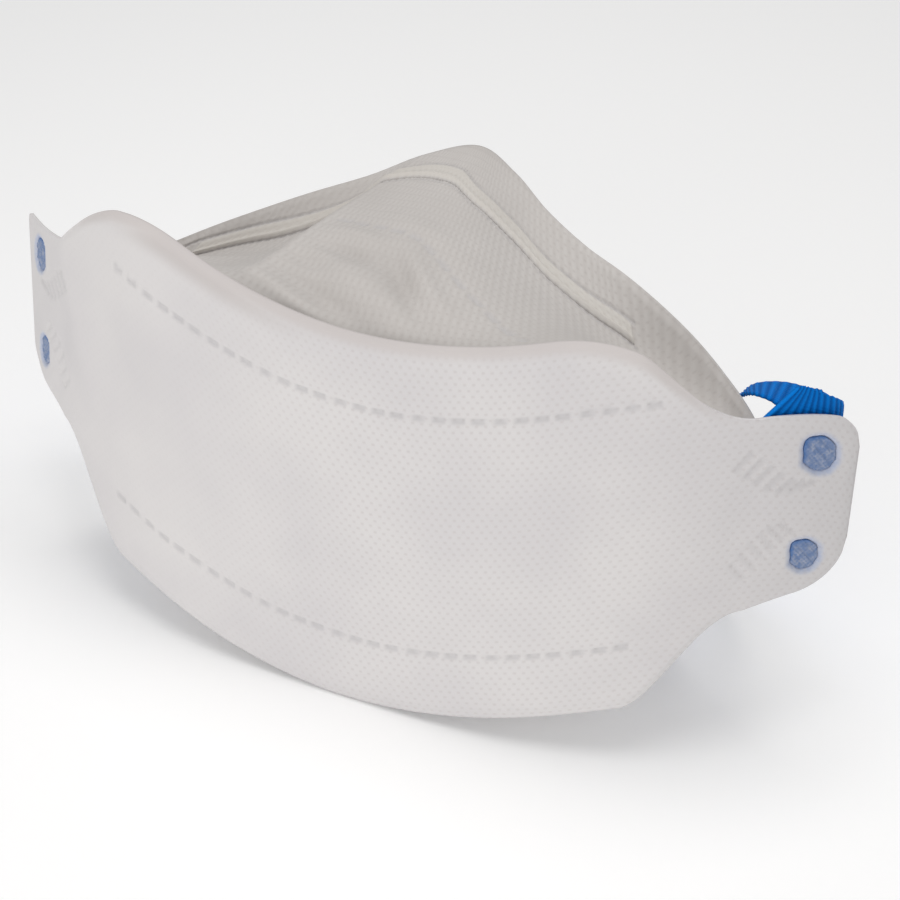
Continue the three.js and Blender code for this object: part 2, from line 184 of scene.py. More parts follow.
def lowerEdge(along):
    distance = abs(along)
    if distance <= wall["foldHalf"]:
        return 0
    if distance <= wall["notchAlong"]:
        part = (distance - wall["foldHalf"]) / (wall["notchAlong"] - wall["foldHalf"])
        return wall["tabBottom"] * math.sin(part * math.pi / 2) ** 1.6
    edge = wall["tabBottom"] + (distance - wall["notchAlong"]) * wall["tabBottomFlare"]
    return edge + cornerDrop(along, wall["tabBottomRadius"])


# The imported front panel's lowest corner says where this shape stands in the frame.
def wallCorner():
    half = wall["thickness"] / 2
    spots = []
    for along in range(-110, 109):
        for share in (0, 0.5, 1):
            at = max(-wall["leftTabEnd"], min(wall["rightTabEnd"], along))
            height = lowerEdge(at) + (upperEdge(at) - lowerEdge(at)) * share
            spots.append(wallPoint(at, height, -half))
    return min(spot.x for spot in spots), min(spot.y for spot in spots)


corner = wallCorner()
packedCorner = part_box("centre_panel")[0]
foot = Vector((packedCorner[0] - corner[0] * mm, packedCorner[1] - corner[1] * mm, 0))


def toFrame(point):
    return foot + Vector(point) * mm


# Camera, lights and floor.

cameraPlan = {
    "target": (0, 25, 40),
    "azimuth": 27.33,
    "elevation": 37.24,
    "roll": -2.06,
    "distance": 449.6,
    "lens": 83.52,
    "shiftX": 0.0662,
    "shiftY": 0.0411,
}


def makeCamera():
    data = bpy.data.cameras.new("camera")
    data.lens = cameraPlan["lens"]
    data.sensor_width = 36
    data.shift_x = cameraPlan["shiftX"]
    data.shift_y = cameraPlan["shiftY"]
    data.clip_start = 0.01
    camera = bpy.data.objects.new("camera", data)
    bpy.context.collection.objects.link(camera)
    turn, rise = math.radians(cameraPlan["azimuth"]), math.radians(cameraPlan["elevation"])
    back = Vector((math.sin(turn) * math.cos(rise), -math.cos(turn) * math.cos(rise), math.sin(rise)))
    right = Vector((math.cos(turn), math.sin(turn), 0))
    up = back.cross(right)
    place = Matrix((right, up, back)).transposed() @ Matrix.Rotation(math.radians(cameraPlan["roll"]), 3, "Z")
    camera.matrix_world = place.to_4x4()
    camera.location = toFrame(Vector(cameraPlan["target"]) + back * cameraPlan["distance"])
    bpy.context.scene.camera = camera


studio = {
    "world": 0.53,
    "floorSize": 4,         # metres
    "floorTone": (0.97, 0.97, 0.97, 1),
    "floorGlow": 0.07,
    "lampAim": (0, 30, 30),
}
lampPlan = table(
    "name place size power tint",
    ("overhead", (70, 40, 600), 0.4, 1.4, (1.0, 0.99, 0.98)),
    ("frontFill", (-90, -640, 150), 0.5, 1.55, (1.0, 0.985, 0.975)),
)


def makeLamps():
    for row in lampPlan:
        data = bpy.data.lights.new(row["name"], "AREA")
        data.shape = "DISK"
        data.size = row["size"]
        data.energy = row["power"]
        data.color = row["tint"]
        lamp = bpy.data.objects.new(row["name"], data)
        bpy.context.collection.objects.link(lamp)
        lamp.location = toFrame(row["place"])
        aim = toFrame(studio["lampAim"]) - lamp.location
        lamp.rotation_euler = aim.to_track_quat("-Z", "Y").to_euler()


def makeWorld():
    world = bpy.data.worlds.new("studio")
    world.use_nodes = True
    background = world.node_tree.nodes["Background"]
    background.inputs["Color"].default_value = (1, 1, 1, 1)
    background.inputs["Strength"].default_value = studio["world"]
    bpy.context.scene.world = world


def makeFloor():
    cut = bmesh.new()
    bmesh.ops.create_grid(cut, x_segments=1, y_segments=1, size=studio["floorSize"])
    mesh = bpy.data.meshes.new("floor")
    cut.to_mesh(mesh)
    cut.free()
    floor = bpy.data.objects.new("floor", mesh)
    bpy.context.collection.objects.link(floor)
    material = bpy.data.materials.new("paleFloor")
    material.use_nodes = True
    shader = material.node_tree.nodes["Principled BSDF"]
    shader.inputs["Base Color"].default_value = studio["floorTone"]
    shader.inputs["Emission Color"].default_value = (1, 1, 1, 1)
    shader.inputs["Emission Strength"].default_value = studio["floorGlow"]
    shader.inputs["Roughness"].default_value = 0.9
    shader.inputs["Specular IOR Level"].default_value = 0.1
    mesh.materials.append(material)


makeCamera()
makeLamps()
makeWorld()
makeFloor()
bpy.context.scene.view_settings.view_transform = "Standard"
print("stage: camera, lamps and floor")

# Node groups shared by the materials.


def newGroup(name, inputs, outputs):
    group = bpy.data.node_groups.new(name, "ShaderNodeTree")
    for title, kind, value in inputs:
        socket = group.interface.new_socket(title, in_out="INPUT", socket_type=kind)
        if value is not None:
            socket.default_value = value
    for title, kind in outputs:
        group.interface.new_socket(title, in_out="OUTPUT", socket_type=kind)
    start = group.nodes.new("NodeGroupInput")
    end = group.nodes.new("NodeGroupOutput")
    return group, start, end


class Wires:
    def __init__(self, tree):
        self.tree = tree

    def add(self, kind, links=None, **settings):
        node = self.tree.nodes.new(kind)
        for name, value in settings.items():
            setattr(node, name, value)
        for name, source in (links or {}).items():
            socket = node.inputs[name]
            if isinstance(source, bpy.types.NodeSocket):
                self.tree.links.new(source, socket)
            else:
                socket.default_value = source
        return node

    def math(self, operation, first, second=0.0, third=0.0):
        node = self.tree.nodes.new("ShaderNodeMath")
        node.operation = operation
        for socket, source in zip(node.inputs, (first, second, third)):
            if isinstance(source, bpy.types.NodeSocket):
                self.tree.links.new(source, socket)
            else:
                socket.default_value = source
        return node.outputs[0]

    def mix(self, share, first, second, blend="MIX"):
        node = self.tree.nodes.new("ShaderNodeMix")
        node.data_type = "RGBA"
        node.blend_type = blend
        for name, source in (("Factor", share), ("A", first), ("B", second)):
            socket = next(s for s in node.inputs if s.name == name and s.enabled)
            if isinstance(source, bpy.types.NodeSocket):
                self.tree.links.new(source, socket)
            else:
                socket.default_value = source
        return next(s for s in node.outputs if s.enabled)


# Small oval dots pressed in offset rows, with a faint cross stripe. The cut's own
# coordinates come in with 100 mm to the unit.
def makeFleeceGroup():
    group, start, end = newGroup(
        "pressedFleece",
        [("Cut", "NodeSocketVector", None), ("Dot Pitch", "NodeSocketFloat", 0.02),
         ("Row Pitch", "NodeSocketFloat", 0.0135), ("Stripe", "NodeSocketFloat", 0.3)],
        [("Dots", "NodeSocketFloat"), ("Fibre", "NodeSocketFloat"), ("Stripes", "NodeSocketFloat"),
         ("Relief", "NodeSocketFloat")],
    )
    wires = Wires(group)
    cut = start.outputs["Cut"]
    sway = wires.add("ShaderNodeTexNoise", {"Vector": cut, "Scale": 6.0, "Detail": 2.0})
    swayed = wires.add("ShaderNodeVectorMath", {0: sway.outputs["Color"], 1: (0.5, 0.5, 0.5)},
                       operation="SUBTRACT")
    shift = wires.add("ShaderNodeVectorMath", {0: swayed.outputs[0], "Scale": 0.012}, operation="SCALE")
    place = wires.add("ShaderNodeVectorMath", {0: cut, 1: shift.outputs[0]}, operation="ADD")
    axes = wires.add("ShaderNodeSeparateXYZ", {"Vector": place.outputs[0]})
    column = wires.math("DIVIDE", axes.outputs["X"], start.outputs["Dot Pitch"])
    row = wires.math("DIVIDE", axes.outputs["Y"], start.outputs["Row Pitch"])
    columnWave = wires.math("COSINE", wires.math("MULTIPLY", column, 2 * math.pi))
    rowWave = wires.math("COSINE", wires.math("MULTIPLY", row, math.pi))
    both = wires.math("MULTIPLY", columnWave, rowWave)
    rowDip = wires.math("POWER", wires.math("ABSOLUTE", rowWave), 3.0)
    cells = wires.math("MULTIPLY", both, rowDip)
    dots = wires.add("ShaderNodeMapRange", {"Value": cells, "From Min": -0.05, "From Max": 0.8}).outputs[0]
    fibre = wires.add("ShaderNodeTexNoise", {"Vector": cut, "Scale": 120.0, "Detail": 4.0, "Roughness": 0.65})
    stripe = wires.math("MULTIPLY", columnWave, start.outputs["Stripe"])
    relief = wires.math("ADD", wires.math("MULTIPLY", dots, -0.6), stripe)
    relief = wires.math("ADD", relief, wires.math("MULTIPLY", fibre.outputs["Fac"], 0.5))
    group.links.new(dots, end.inputs["Dots"])
    group.links.new(fibre.outputs["Fac"], end.inputs["Fibre"])
    striped = wires.math("MULTIPLY", wires.math("ADD", columnWave, 1.0), start.outputs["Stripe"])
    group.links.new(striped, end.inputs["Stripes"])
    group.links.new(relief, end.inputs["Relief"])
    return group


# Slow, cloudy changes of tone over a piece, from its place in the frame.
def makeCloudGroup():
    group, start, end = newGroup(
        "cloudyTone",
        [("Size", "NodeSocketFloat", 30.0), ("Low", "NodeSocketColor", (0.6, 0.6, 0.6, 1)),
         ("High", "NodeSocketColor", (0.7, 0.7, 0.7, 1))],
        [("Color", "NodeSocketColor")],
    )
    wires = Wires(group)
    where = wires.add("ShaderNodeTexCoord")
    noise = wires.add("ShaderNodeTexNoise", {"Vector": where.outputs["Object"],
                                             "Scale": start.outputs["Size"], "Detail": 3.0})
    share = wires.add("ShaderNodeMapRange", {"Value": noise.outputs["Fac"], "From Min": 0.35,
                                             "From Max": 0.65})
    tone = wires.mix(share.outputs[0], start.outputs["Low"], start.outputs["High"])
    group.links.new(tone, end.inputs["Color"])
    return group


fleeceGroup = makeFleeceGroup()
cloudGroup = makeCloudGroup()


def newMaterial(name, roughness, sheen=0.0):
    material = bpy.data.materials.new(name)
    material.use_nodes = True
    shader = material.node_tree.nodes["Principled BSDF"]
    shader.inputs["Roughness"].default_value = roughness
    shader.inputs["Specular IOR Level"].default_value = 0.25
    shader.inputs["Sheen Weight"].default_value = sheen
    shader.inputs["Sheen Roughness"].default_value = 0.6
    return material, Wires(material.node_tree), shader


def placeGroup(wires, group, links):
    node = wires.add("ShaderNodeGroup", node_tree=group)
    for name, source in links.items():
        if isinstance(source, bpy.types.NodeSocket):
            wires.tree.links.new(source, node.inputs[name])
        else:
            node.inputs[name].default_value = source
    return node


# The mark "weld" is where the layers are fused and darker, "shade" is painted shade under a fold
# or a rim, where the dots are left out too, and "stain" where the blue of a strap shows through.
def fleeceMaterial(name, low, high, dotTone, stripe, smoothSide, bumpDepth):
    material, wires, shader = newMaterial(name, 0.85, 0.12)
    cut = wires.add("ShaderNodeUVMap", uv_map="flatCut").outputs["UV"]
    fleece = placeGroup(wires, fleeceGroup, {"Cut": cut, "Stripe": stripe})
    cloud = placeGroup(wires, cloudGroup, {"Low": low, "High": high})
    side = wires.add("ShaderNodeSeparateXYZ", {"Vector": cut})
    strength = wires.add("ShaderNodeMapRange", {
        "Value": side.outputs["X"], "From Min": smoothSide, "From Max": smoothSide + 0.5,
        "To Min": 0.15, "To Max": 1.0})
    shade = wires.add("ShaderNodeAttribute", attribute_name="shade")
    plain = wires.add("ShaderNodeMapRange", {"Value": shade.outputs["Fac"], "To Min": 1.0, "To Max": 0.0})
    strength = wires.math("MULTIPLY", strength.outputs[0], plain.outputs[0])
    pressed = wires.math("MULTIPLY", fleece.outputs["Dots"], strength)
    tone = wires.mix(wires.math("MULTIPLY", pressed, 0.42), cloud.outputs["Color"], dotTone)
    tone = wires.mix(wires.math("MULTIPLY", fleece.outputs["Stripes"], 0.3), tone, dotTone)
    # Painted shade: a dull brown-grey where the shade mark is set.
    tone = wires.mix(wires.math("MULTIPLY", shade.outputs["Fac"], 0.55), tone, (0.47, 0.42, 0.40, 1))
    weld = wires.add("ShaderNodeAttribute", attribute_name="weld")
    tone = wires.mix(wires.math("MULTIPLY", weld.outputs["Fac"], 0.4), tone, (0.50, 0.49, 0.50, 1))
    stain = wires.add("ShaderNodeAttribute", attribute_name="stain")
    fuzz = wires.math("MULTIPLY", stain.outputs["Fac"], wires.math("ADD", fleece.outputs["Fibre"], 0.1))
    tone = wires.mix(fuzz, tone, (0.2, 0.33, 0.62, 1))
    wires.tree.links.new(tone, shader.inputs["Base Color"])
    height = wires.math("MULTIPLY", fleece.outputs["Relief"], strength)
    bump = wires.add("ShaderNodeBump", {"Height": height, "Strength": 0.5, "Distance": bumpDepth})
    wires.tree.links.new(bump.outputs["Normal"], shader.inputs["Normal"])
    return material


panelMaterial = fleeceMaterial(
    "frontFleece", (0.64, 0.62, 0.625, 1), (0.69, 0.67, 0.665, 1), (0.55, 0.51, 0.505, 1),
    stripe=0.02, smoothSide=-0.45, bumpDepth=0.0001)
topMaterial = fleeceMaterial(
    "topFleece", (0.50, 0.475, 0.455, 1), (0.56, 0.535, 0.515, 1), (0.45, 0.42, 0.40, 1),
    stripe=0.55, smoothSide=-2.0, bumpDepth=0.00009)
stripMaterial = fleeceMaterial(
    "stripFleece", (0.55, 0.52, 0.485, 1), (0.6, 0.575, 0.54, 1), (0.5, 0.46, 0.42, 1),
    stripe=0.3, smoothSide=-2.0, bumpDepth=0.00008)


def makeStrapMaterial():
    material, wires, shader = newMaterial("blueElastic", 0.7, 0.12)
    shader.inputs["Sheen Tint"].default_value = (0.0, 0.35, 1.0, 1)
    shader.inputs["Specular IOR Level"].default_value = 0.08
    cut = wires.add("ShaderNodeUVMap", uv_map="flatCut").outputs["UV"]
    axes = wires.add("ShaderNodeSeparateXYZ", {"Vector": cut})
    knit = wires.add("ShaderNodeTexNoise", {"Vector": cut, "Scale": 260.0, "Detail": 3.0})
    thread = wires.math("SINE", wires.math("MULTIPLY", axes.outputs["Y"], 2 * math.pi / 0.0085))
    # Painted shade: the rib mark darkens the grooves between the gathered ribs and leaves the crests full
    # blue.
    rib = wires.add("ShaderNodeAttribute", attribute_name="rib")
    tone = wires.mix(rib.outputs["Fac"], (0.0, 0.05, 0.24, 1), (0.0, 0.17, 0.62, 1))
    tone = wires.mix(wires.math("MULTIPLY", knit.outputs["Fac"], 0.35), tone, (0.0, 0.2, 0.66, 1))
    wires.tree.links.new(tone, shader.inputs["Base Color"])
    height = wires.math("ADD", wires.math("MULTIPLY", thread, 0.5), knit.outputs["Fac"])
    bump = wires.add("ShaderNodeBump", {"Height": height, "Strength": 0.5, "Distance": 0.0001})
    wires.tree.links.new(bump.outputs["Normal"], shader.inputs["Normal"])
    return material


def makeWeldMaterial():
    material, wires, shader = newMaterial("fusedSpot", 0.5)
    cut = wires.add("ShaderNodeUVMap", uv_map="flatCut").outputs["UV"]
    streak = wires.add("ShaderNodeTexNoise", {"Vector": cut, "Scale": 75.0, "Detail": 4.0, "Distortion": 0.6})
    share = wires.add("ShaderNodeMapRange", {"Value": streak.outputs["Fac"], "From Min": 0.4,
                                             "From Max": 0.66})
    dark = wires.add("ShaderNodeAttribute", attribute_name="shade")
    axes = wires.add("ShaderNodeSeparateXYZ", {"Vector": cut})
    lines = [wires.math("SINE", wires.math("MULTIPLY", axes.outputs[name], 2 * math.pi / 0.0105))
             for name in ("X", "Y")]
    waffle = wires.add("ShaderNodeMapRange", {"Value": wires.math("MULTIPLY", *lines), "From Min": -0.3,
                                              "From Max": 0.7})
    tone = wires.mix(share.outputs[0], (0.16, 0.23, 0.40, 1), (0.34, 0.38, 0.49, 1))
    tone = wires.mix(wires.math("MULTIPLY", waffle.outputs[0], 0.4), tone, (0.10, 0.18, 0.38, 1))
    tone = wires.mix(wires.math("MULTIPLY", dark.outputs["Fac"], 0.7), tone, (0.05, 0.16, 0.42, 1))
    wires.tree.links.new(tone, shader.inputs["Base Color"])
    bump = wires.add("ShaderNodeBump", {"Height": streak.outputs["Fac"], "Strength": 0.6, "Distance": 0.0003})
    wires.tree.links.new(bump.outputs["Normal"], shader.inputs["Normal"])
    return material


strapMaterial = makeStrapMaterial()
weldMaterial = makeWeldMaterial()
print("stage: materials")

# Cloth pieces.


# A flat cut is bent over its middle surface, and gets a second layer behind it. middle(a, b)
# gives the surface for a and b from 0 to 1, cut(a, b) its flat place, and faces(a, b) the
# distances of the outer and inner faces with the values of the marks.
def sheetPiece(name, stops, rows, middle, cut, faces, marks, material):
    bm = bmesh.new()
    bmesh.ops.create_grid(bm, x_segments=len(stops) - 1, y_segments=len(rows) - 1, size=0.5)
    bm.verts.ensure_lookup_table()
    seat = bm.verts.layers.int.new("seat")
    layers = {mark: bm.verts.layers.float.new(mark) for mark in marks}
    spots = []
    for vert in bm.verts:
        a = stops[round((vert.co.x + 0.5) * (len(stops) - 1))]
        b = rows[round((vert.co.y + 0.5) * (len(rows) - 1))]
        vert[seat] = len(spots)
        spots.append((a, b))
        vert.co = middle(a, b)
    bm.normal_update()
    plans = []
    for vert, (a, b) in zip(bm.verts, spots):
        outer, inner, values = faces(a, b)
        plans.append((vert.co.copy(), vert.normal.copy(), outer, inner, values, cut(a, b)))
    grown = bmesh.ops.extrude_face_region(bm, geom=bm.faces[:], use_keep_orig=True)
    outerVerts = {item for item in grown["geom"] if isinstance(item, bmesh.types.BMVert)}
    for vert in bm.verts:
        co, normal, outer, inner, values, place = plans[vert[seat]]
        vert.co = toFrame(co + normal * (outer if vert in outerVerts else -inner))
        for mark, value in zip(marks, values):
            vert[layers[mark]] = value
    bmesh.ops.recalc_face_normals(bm, faces=bm.faces[:])
    uv = bm.loops.layers.uv.new("flatCut")
    for face in bm.faces:
        face.smooth = True
        for loop in face.loops:
            place = plans[loop.vert[seat]][5]
            loop[uv].uv = (place[0] / 100, place[1] / 100)
    mesh = bpy.data.meshes.new(name)
    bm.to_mesh(mesh)
    bm.free()
    mesh.materials.append(material)
    piece = bpy.data.objects.new(name, mesh)
    bpy.context.collection.objects.link(piece)
    return piece


def evenStops(count, low=0.0, high=1.0):
    return [low + (high - low) * step / count for step in range(count + 1)]


# Stops at a plain spacing, closer together round each of the given lines.
def closeStops(low, high, spacing, lines, closeSpacing, closeReach):
    stops, at = [low], low
    while at < high - spacing * 0.3:
        near = any(abs(at - line) < closeReach for line in lines)
        at += closeSpacing if near else spacing
        stops.append(min(at, high))
    stops[-1] = high
    return stops


def dent(distance, softness):
    return 1 - smooth(distance, 0, softness)


# Front panel.

frontDetail = {
    "spacing": 0.72,
    "rim": 0.35,            # half thickness where the edge is fused
    "rimReach": 2.6,
    "rollRadius": 1.5,      # the upper fold rolls back this much
    "weldLines": table("height left right", (72.6, -62, 68), (16, -62, 63)),
    "dashPitch": 4.5,
    "dashLength": 2.6,
    "dashHeight": 0.9,
    "dashDepth": 0.35,
    "pillow": 0.5,          # swelling between the weld lines
    "spotPress": 1.15,      # how far the fleece is pressed in over a fused spot
    "rimShade": (0.6, 2.6), # painted shade along the upper fold's rim, in mm below the edge
    "leftShade": (1.5, 6.5),
    "cornerSteps": 22,      # columns round a tab's lower corner
}
# The fused spots: round, with one side squared off a little.
spots = {
    "head": {"along": 98.4, "height": 58.8, "radius": 4.0, "flat": 3.2},
    "neck": {"along": 97.2, "height": 34.2, "radius": 3.6, "flat": 2.7},
}
frontBars = table(
    "along height turn length width",
    (83.1, 57.1, 50, 4.4, 1.4), (85.4, 55.4, 50, 4.6, 1.4), (87.6, 53.7, 50, 4.6, 1.4),
    (89.8, 52.2, 50, 4.4, 1.4), (92.1, 51.2, 46, 4.2, 1.4), (94.5, 51.1, 40, 3.8, 1.3),
    (96.7, 51.7, 30, 3.2, 1.2),
    (83.6, 31, -52, 4.2, 1.5), (85.5, 33.5, -52, 4.4, 1.5), (87.3, 35.9, -52, 4.4, 1.5),
    (89.2, 38, -50, 4.2, 1.5), (91, 39.8, -46, 4, 1.4), (93.2, 41, -38, 3.6, 1.3),
)
frontFolds = table(
    "along height turn width length rise",
    (-38, 52, -52, 9, 46, 1.0), (-20, 40, -56, 7, 44, -0.8), (-60, 46, -58, 7, 34, -0.8),
    (-78, 50, -66, 5, 24, 0.7), (-8, 58, -60, 6, 26, 0.5), (-50, 20, -40, 6, 26, 0.5),
    (-86, 36, 78, 4, 18, -0.5), (84, 44, 80, 5, 22, -0.5),
)


# A place in the length and width directions of a line that a table row gives.
def lineAxes(along, height, row):
    turn = math.radians(row["turn"])
    dx, dy = along - row["along"], height - row["height"]
    return dx * math.cos(turn) + dy * math.sin(turn), dy * math.cos(turn) - dx * math.sin(turn)


def dashMark(along, height):
    best = 0.0
    for line in frontDetail["weldLines"]:
        aside = abs(height - line["height"]) - frontDetail["dashHeight"] / 2
        if aside > 1 or not line["left"] <= along <= line["right"]:
            continue
        phase = (along - line["left"]) % frontDetail["dashPitch"]
        past = abs(phase - frontDetail["dashLength"] / 2) - frontDetail["dashLength"] / 2
        best = max(best, dent(max(0, past), 0.5) * dent(max(0, aside), 0.5))
    return best


def barMark(along, height):
    best = 0.0
    for row in frontBars:
        lengthwise, sideways = lineAxes(abs(along), height, row)
        past = max(0, abs(lengthwise) - row["length"] / 2)
        best = max(best, dent(past, 0.7) * dent(max(0, abs(sideways) - row["width"] / 4), row["width"] / 2))
    return best


def softFolds(along, height):
    rise = 0.0
    for row in frontFolds:
        lengthwise, sideways = lineAxes(along, height, row)
        fading = (lengthwise / row["length"]) ** 2 * 2 + (sideways / row["width"]) ** 2
        rise += row["rise"] * math.exp(-fading)
    return rise


# How far a fused spot's uneven rim lies inside its round outline.
def raggedRim(turn, spot):
    return 0.1 * math.sin(3 * turn + spot["height"]) + 0.07 * math.sin(8 * turn)


# How far outside a fused spot's rim a place lies, negative within it.
def spotDistance(along, height):
    best = 99.0
    for spot in spots.values():
        dx, dy = abs(along) - spot["along"], height - spot["height"]
        ragged = raggedRim(math.atan2(dy, dx), spot)
        best = min(best, max(math.hypot(dx, dy) - spot["radius"], -dx - spot["flat"]) + ragged)
    return best


def edgeDistance(along, height):
    ends = tabEnd(along) - abs(along)
    return min(ends, height - lowerEdge(along), upperEdge(along) - height)


def frontMiddle(along, share):
    low = lowerEdge(along)
    height = low + (upperEdge(along) - low) * share
    roll = frontDetail["rollRadius"]
    fading = 1 - smooth(abs(along), 58, 78)
    into = min(roll, max(0, height - (upperEdge(along) - roll)))
    depth = (roll - math.sqrt(roll * roll - into * into * 0.96)) * fading
    return wallPoint(along, height, depth - softFolds(along, height))


def frontCut(along, share):
    low = lowerEdge(along)
    return along, low + (upperEdge(along) - low) * share


def frontFaces(along, share):
    height = frontCut(along, share)[1]
    edge = edgeDistance(along, height)
    rim = smooth(edge, 0, frontDetail["rimReach"])
    half = frontDetail["rim"] + (wall["thickness"] / 2 - frontDetail["rim"]) * rim
    bars = barMark(along, height)
    weld = max(dashMark(along, height), bars * (0.6 if height > 45 else 0.0))
    lines = [line["height"] for line in frontDetail["weldLines"]]
    nearest = min(abs(height - line) for line in lines)
    swell = frontDetail["pillow"] * smooth(nearest, 0, 9) * rim * (1 - smooth(abs(along), 60, 84))
    away = spotDistance(along, height)
    press = frontDetail["spotPress"] * (1 - smooth(away, -0.5, 0.9))
    outer = half + swell * 0.5 - max(weld, bars) * frontDetail["dashDepth"] - press
    stain = (1 - smooth(away, 0.2, 1.7)) * 0.75
    # Painted shade where the upper fold rolls back, and in a broader band below it over the left half.
    top = upperEdge(along) - height
    shade = (1 - smooth(top, *frontDetail["rimShade"])) * (1 - smooth(abs(along), 66, 84))
    if along < 0:
        broad = smooth(-along, 2, 34) * (1 - smooth(-along, 48, 66))
        shade = max(shade, (1 - smooth(top, *frontDetail["leftShade"])) * broad)
    return outer, half - weld * 0.15, (weld, stain, shade)


def frontStops():
    fine = frontDetail["spacing"]
    stops = []
    for side in (-1, 1):
        end, radius = tabEnd(side), wall["tabBottomRadius"]
        inner = end - radius
        count = round(inner / fine)
        stops += [side * inner * step / count for step in range(1, count + 1)]
        corner = frontDetail["cornerSteps"]
        stops += [side * (end - radius * math.cos(step / corner * math.pi / 2))
                  for step in range(1, corner + 1)]
    return sorted(stops + [0.0])


def frontRows():
    lines = [line["height"] for line in frontDetail["weldLines"]]
    rows = closeStops(0, wall["height"], 1.0, lines, 0.32, 1.3)
    extra = [wall["height"] - drop for drop in (1.8, 1.5, 1.2, 0.9, 0.6, 0.3, 0.12)]
    kept = [row for row in rows if row < wall["height"] - 2] + extra + [wall["height"], 0.4]
    return [row / wall["height"] for row in sorted(set(kept))]


def makeFront():
    piece = sheetPiece("frontPanel", frontStops(), frontRows(), frontMiddle, frontCut, frontFaces,
                       ("weld", "stain", "shade"), panelMaterial)
    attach(piece, "root")
    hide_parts("centre_panel")
    print("stage: front panel,", len(piece.data.polygons), "faces")


makeFront()

# Folded panels.

panelSeat = 2.0             # from the front panel's middle surface to a folded panel's, at the seam
noseEdge = table(
    "across back up",
    (-74, 29, 74.6), (-66.5, 33, 76.6), (-58.5, 39, 79.6), (-50, 45.5, 82.8), (-41.5, 51.5, 85.6),
    (-33, 57, 88.3), (-22, 63.8, 91.4), (-12, 71, 94.8), (-1.5, 75.6, 96.8), (9, 71, 94.8),
    (19.5, 64, 91.6), (31, 58, 88.8), (40, 54.3, 87.2), (50, 49.5, 84.9), (60, 43.8, 82.2),
    (68.5, 38, 79.2), (76.5, 31.5, 76),
)
chinEdge = table(
    "across back up",
    (-77, 31.5, 42), (-68, 38, 33), (-56, 46, 22), (-42, 54, 11), (-28, 61, 2.5), (-14, 65, -1.5),
    (0, 66, -1.5), (14, 65, -1.5), (28, 61, 2.5), (42, 54, 11), (56, 46, 22), (68, 38, 33), (77, 31.5, 42),
)
topRulings = table(
    "share along height edge",
    (0, 0, 87, 0), (0.22, 28, 87, 0.09), (0.5, 61, 86.6, 0.42), (0.66, 72, 75, 0.6),
    (0.8, 81, 62.5, 0.8), (0.9, 88, 55, 0.91), (1, 94, 52.3, 1),
)
chinRulings = table(
    "share along height edge",
    (0, 0, 1, 0), (0.22, 26, 1, 0.16), (0.5, 61, 1.4, 0.42), (0.66, 72, 11, 0.6),
    (0.8, 81, 23, 0.8), (0.9, 88, 36, 0.91), (1, 94, 42.3, 1),
)
topShape = {
    "thickness": 1.5,
    "seamInset": 2.4,
    "seamEnd": (95.5, 48.6),
    "puff": 3.5,
    "puffShare": 0.3,
    "dip": 12,
    "rightDipShare": 0.54,
    "rightDipReach": 0.47,
    "ridgeShare": 0.24,     # a crease up the left side, with a valley beyond it
    "valleyShare": 0.44,
    "valleyReach": 0.5,
    "valleyStart": 0.75,    # below 1, so the valley is already deep near the seam
}
chinSeamEnd = (95.5, 45.6)


# A smooth curve through points, with the spacing of the knots by the root of the distance.
class SmoothCurve:
    def __init__(self, points):
        self.points = points

    def at(self, share):
        points = self.points
        place = share * (len(points) - 1)
        first = min(len(points) - 2, max(0, math.floor(place)))
        part = place - first
        p1, p2 = points[first], points[first + 1]
        p0 = points[first - 1] if first > 0 else p1 * 2 - p2
        p3 = points[first + 2] if first + 2 < len(points) else p2 * 2 - p1
        d0, d1, d2 = (math.sqrt((b - a).length) for a, b in ((p0, p1), (p1, p2), (p2, p3)))
        t1 = ((p1 - p0) / d0 - (p2 - p0) / (d0 + d1) + (p2 - p1) / d1) * d1
        t2 = ((p2 - p1) / d1 - (p3 - p1) / (d1 + d2) + (p3 - p2) / d2) * d1
        square, cube = part * part, part * part * part
        return (p1 + t1 * part + (p1 * -3 + p2 * 3 - t1 * 2 - t2) * square
                + (p1 * 2 - p2 * 2 + t1 + t2) * cube)


def foldedSurface(rulings, edgeRows, seamEnd, settle):
    edge = SmoothCurve(
        [wallPoint(-seamEnd[0], seamEnd[1], panelSeat)]
        + [Vector((row["across"], row["back"], row["up"])) for row in edgeRows]
        + [wallPoint(seamEnd[0], seamEnd[1], panelSeat)])

    def surface(across, out):
        side = math.copysign(1, across)
        share = abs(across)
        along = side * smoothly(rulings, "share", "along", share)
        height = min(smoothly(rulings, "share", "height", share), upperEdge(along) - topShape["seamInset"])
        seam = wallPoint(along, height, panelSeat)
        free = edge.at((1 + side * smoothly(rulings, "share", "edge", share)) / 2)
        return settle(seam.lerp(free, out), across, out)

    return surface


# The right side's soft hollow.
def hollow(share):
    aside = min(1, abs(share - topShape["rightDipShare"]) / topShape["rightDipReach"])
    return (1 + math.cos(math.pi * aside)) / 2


# How deep the left side has fallen, from the crease outwards.
def valley(share):
    near, deep = topShape["ridgeShare"], topShape["valleyShare"]
    slope = (deep - share) / (deep - near if share < deep else topShape["valleyReach"])
    return 0 if share < near else 1 - slope ** 2


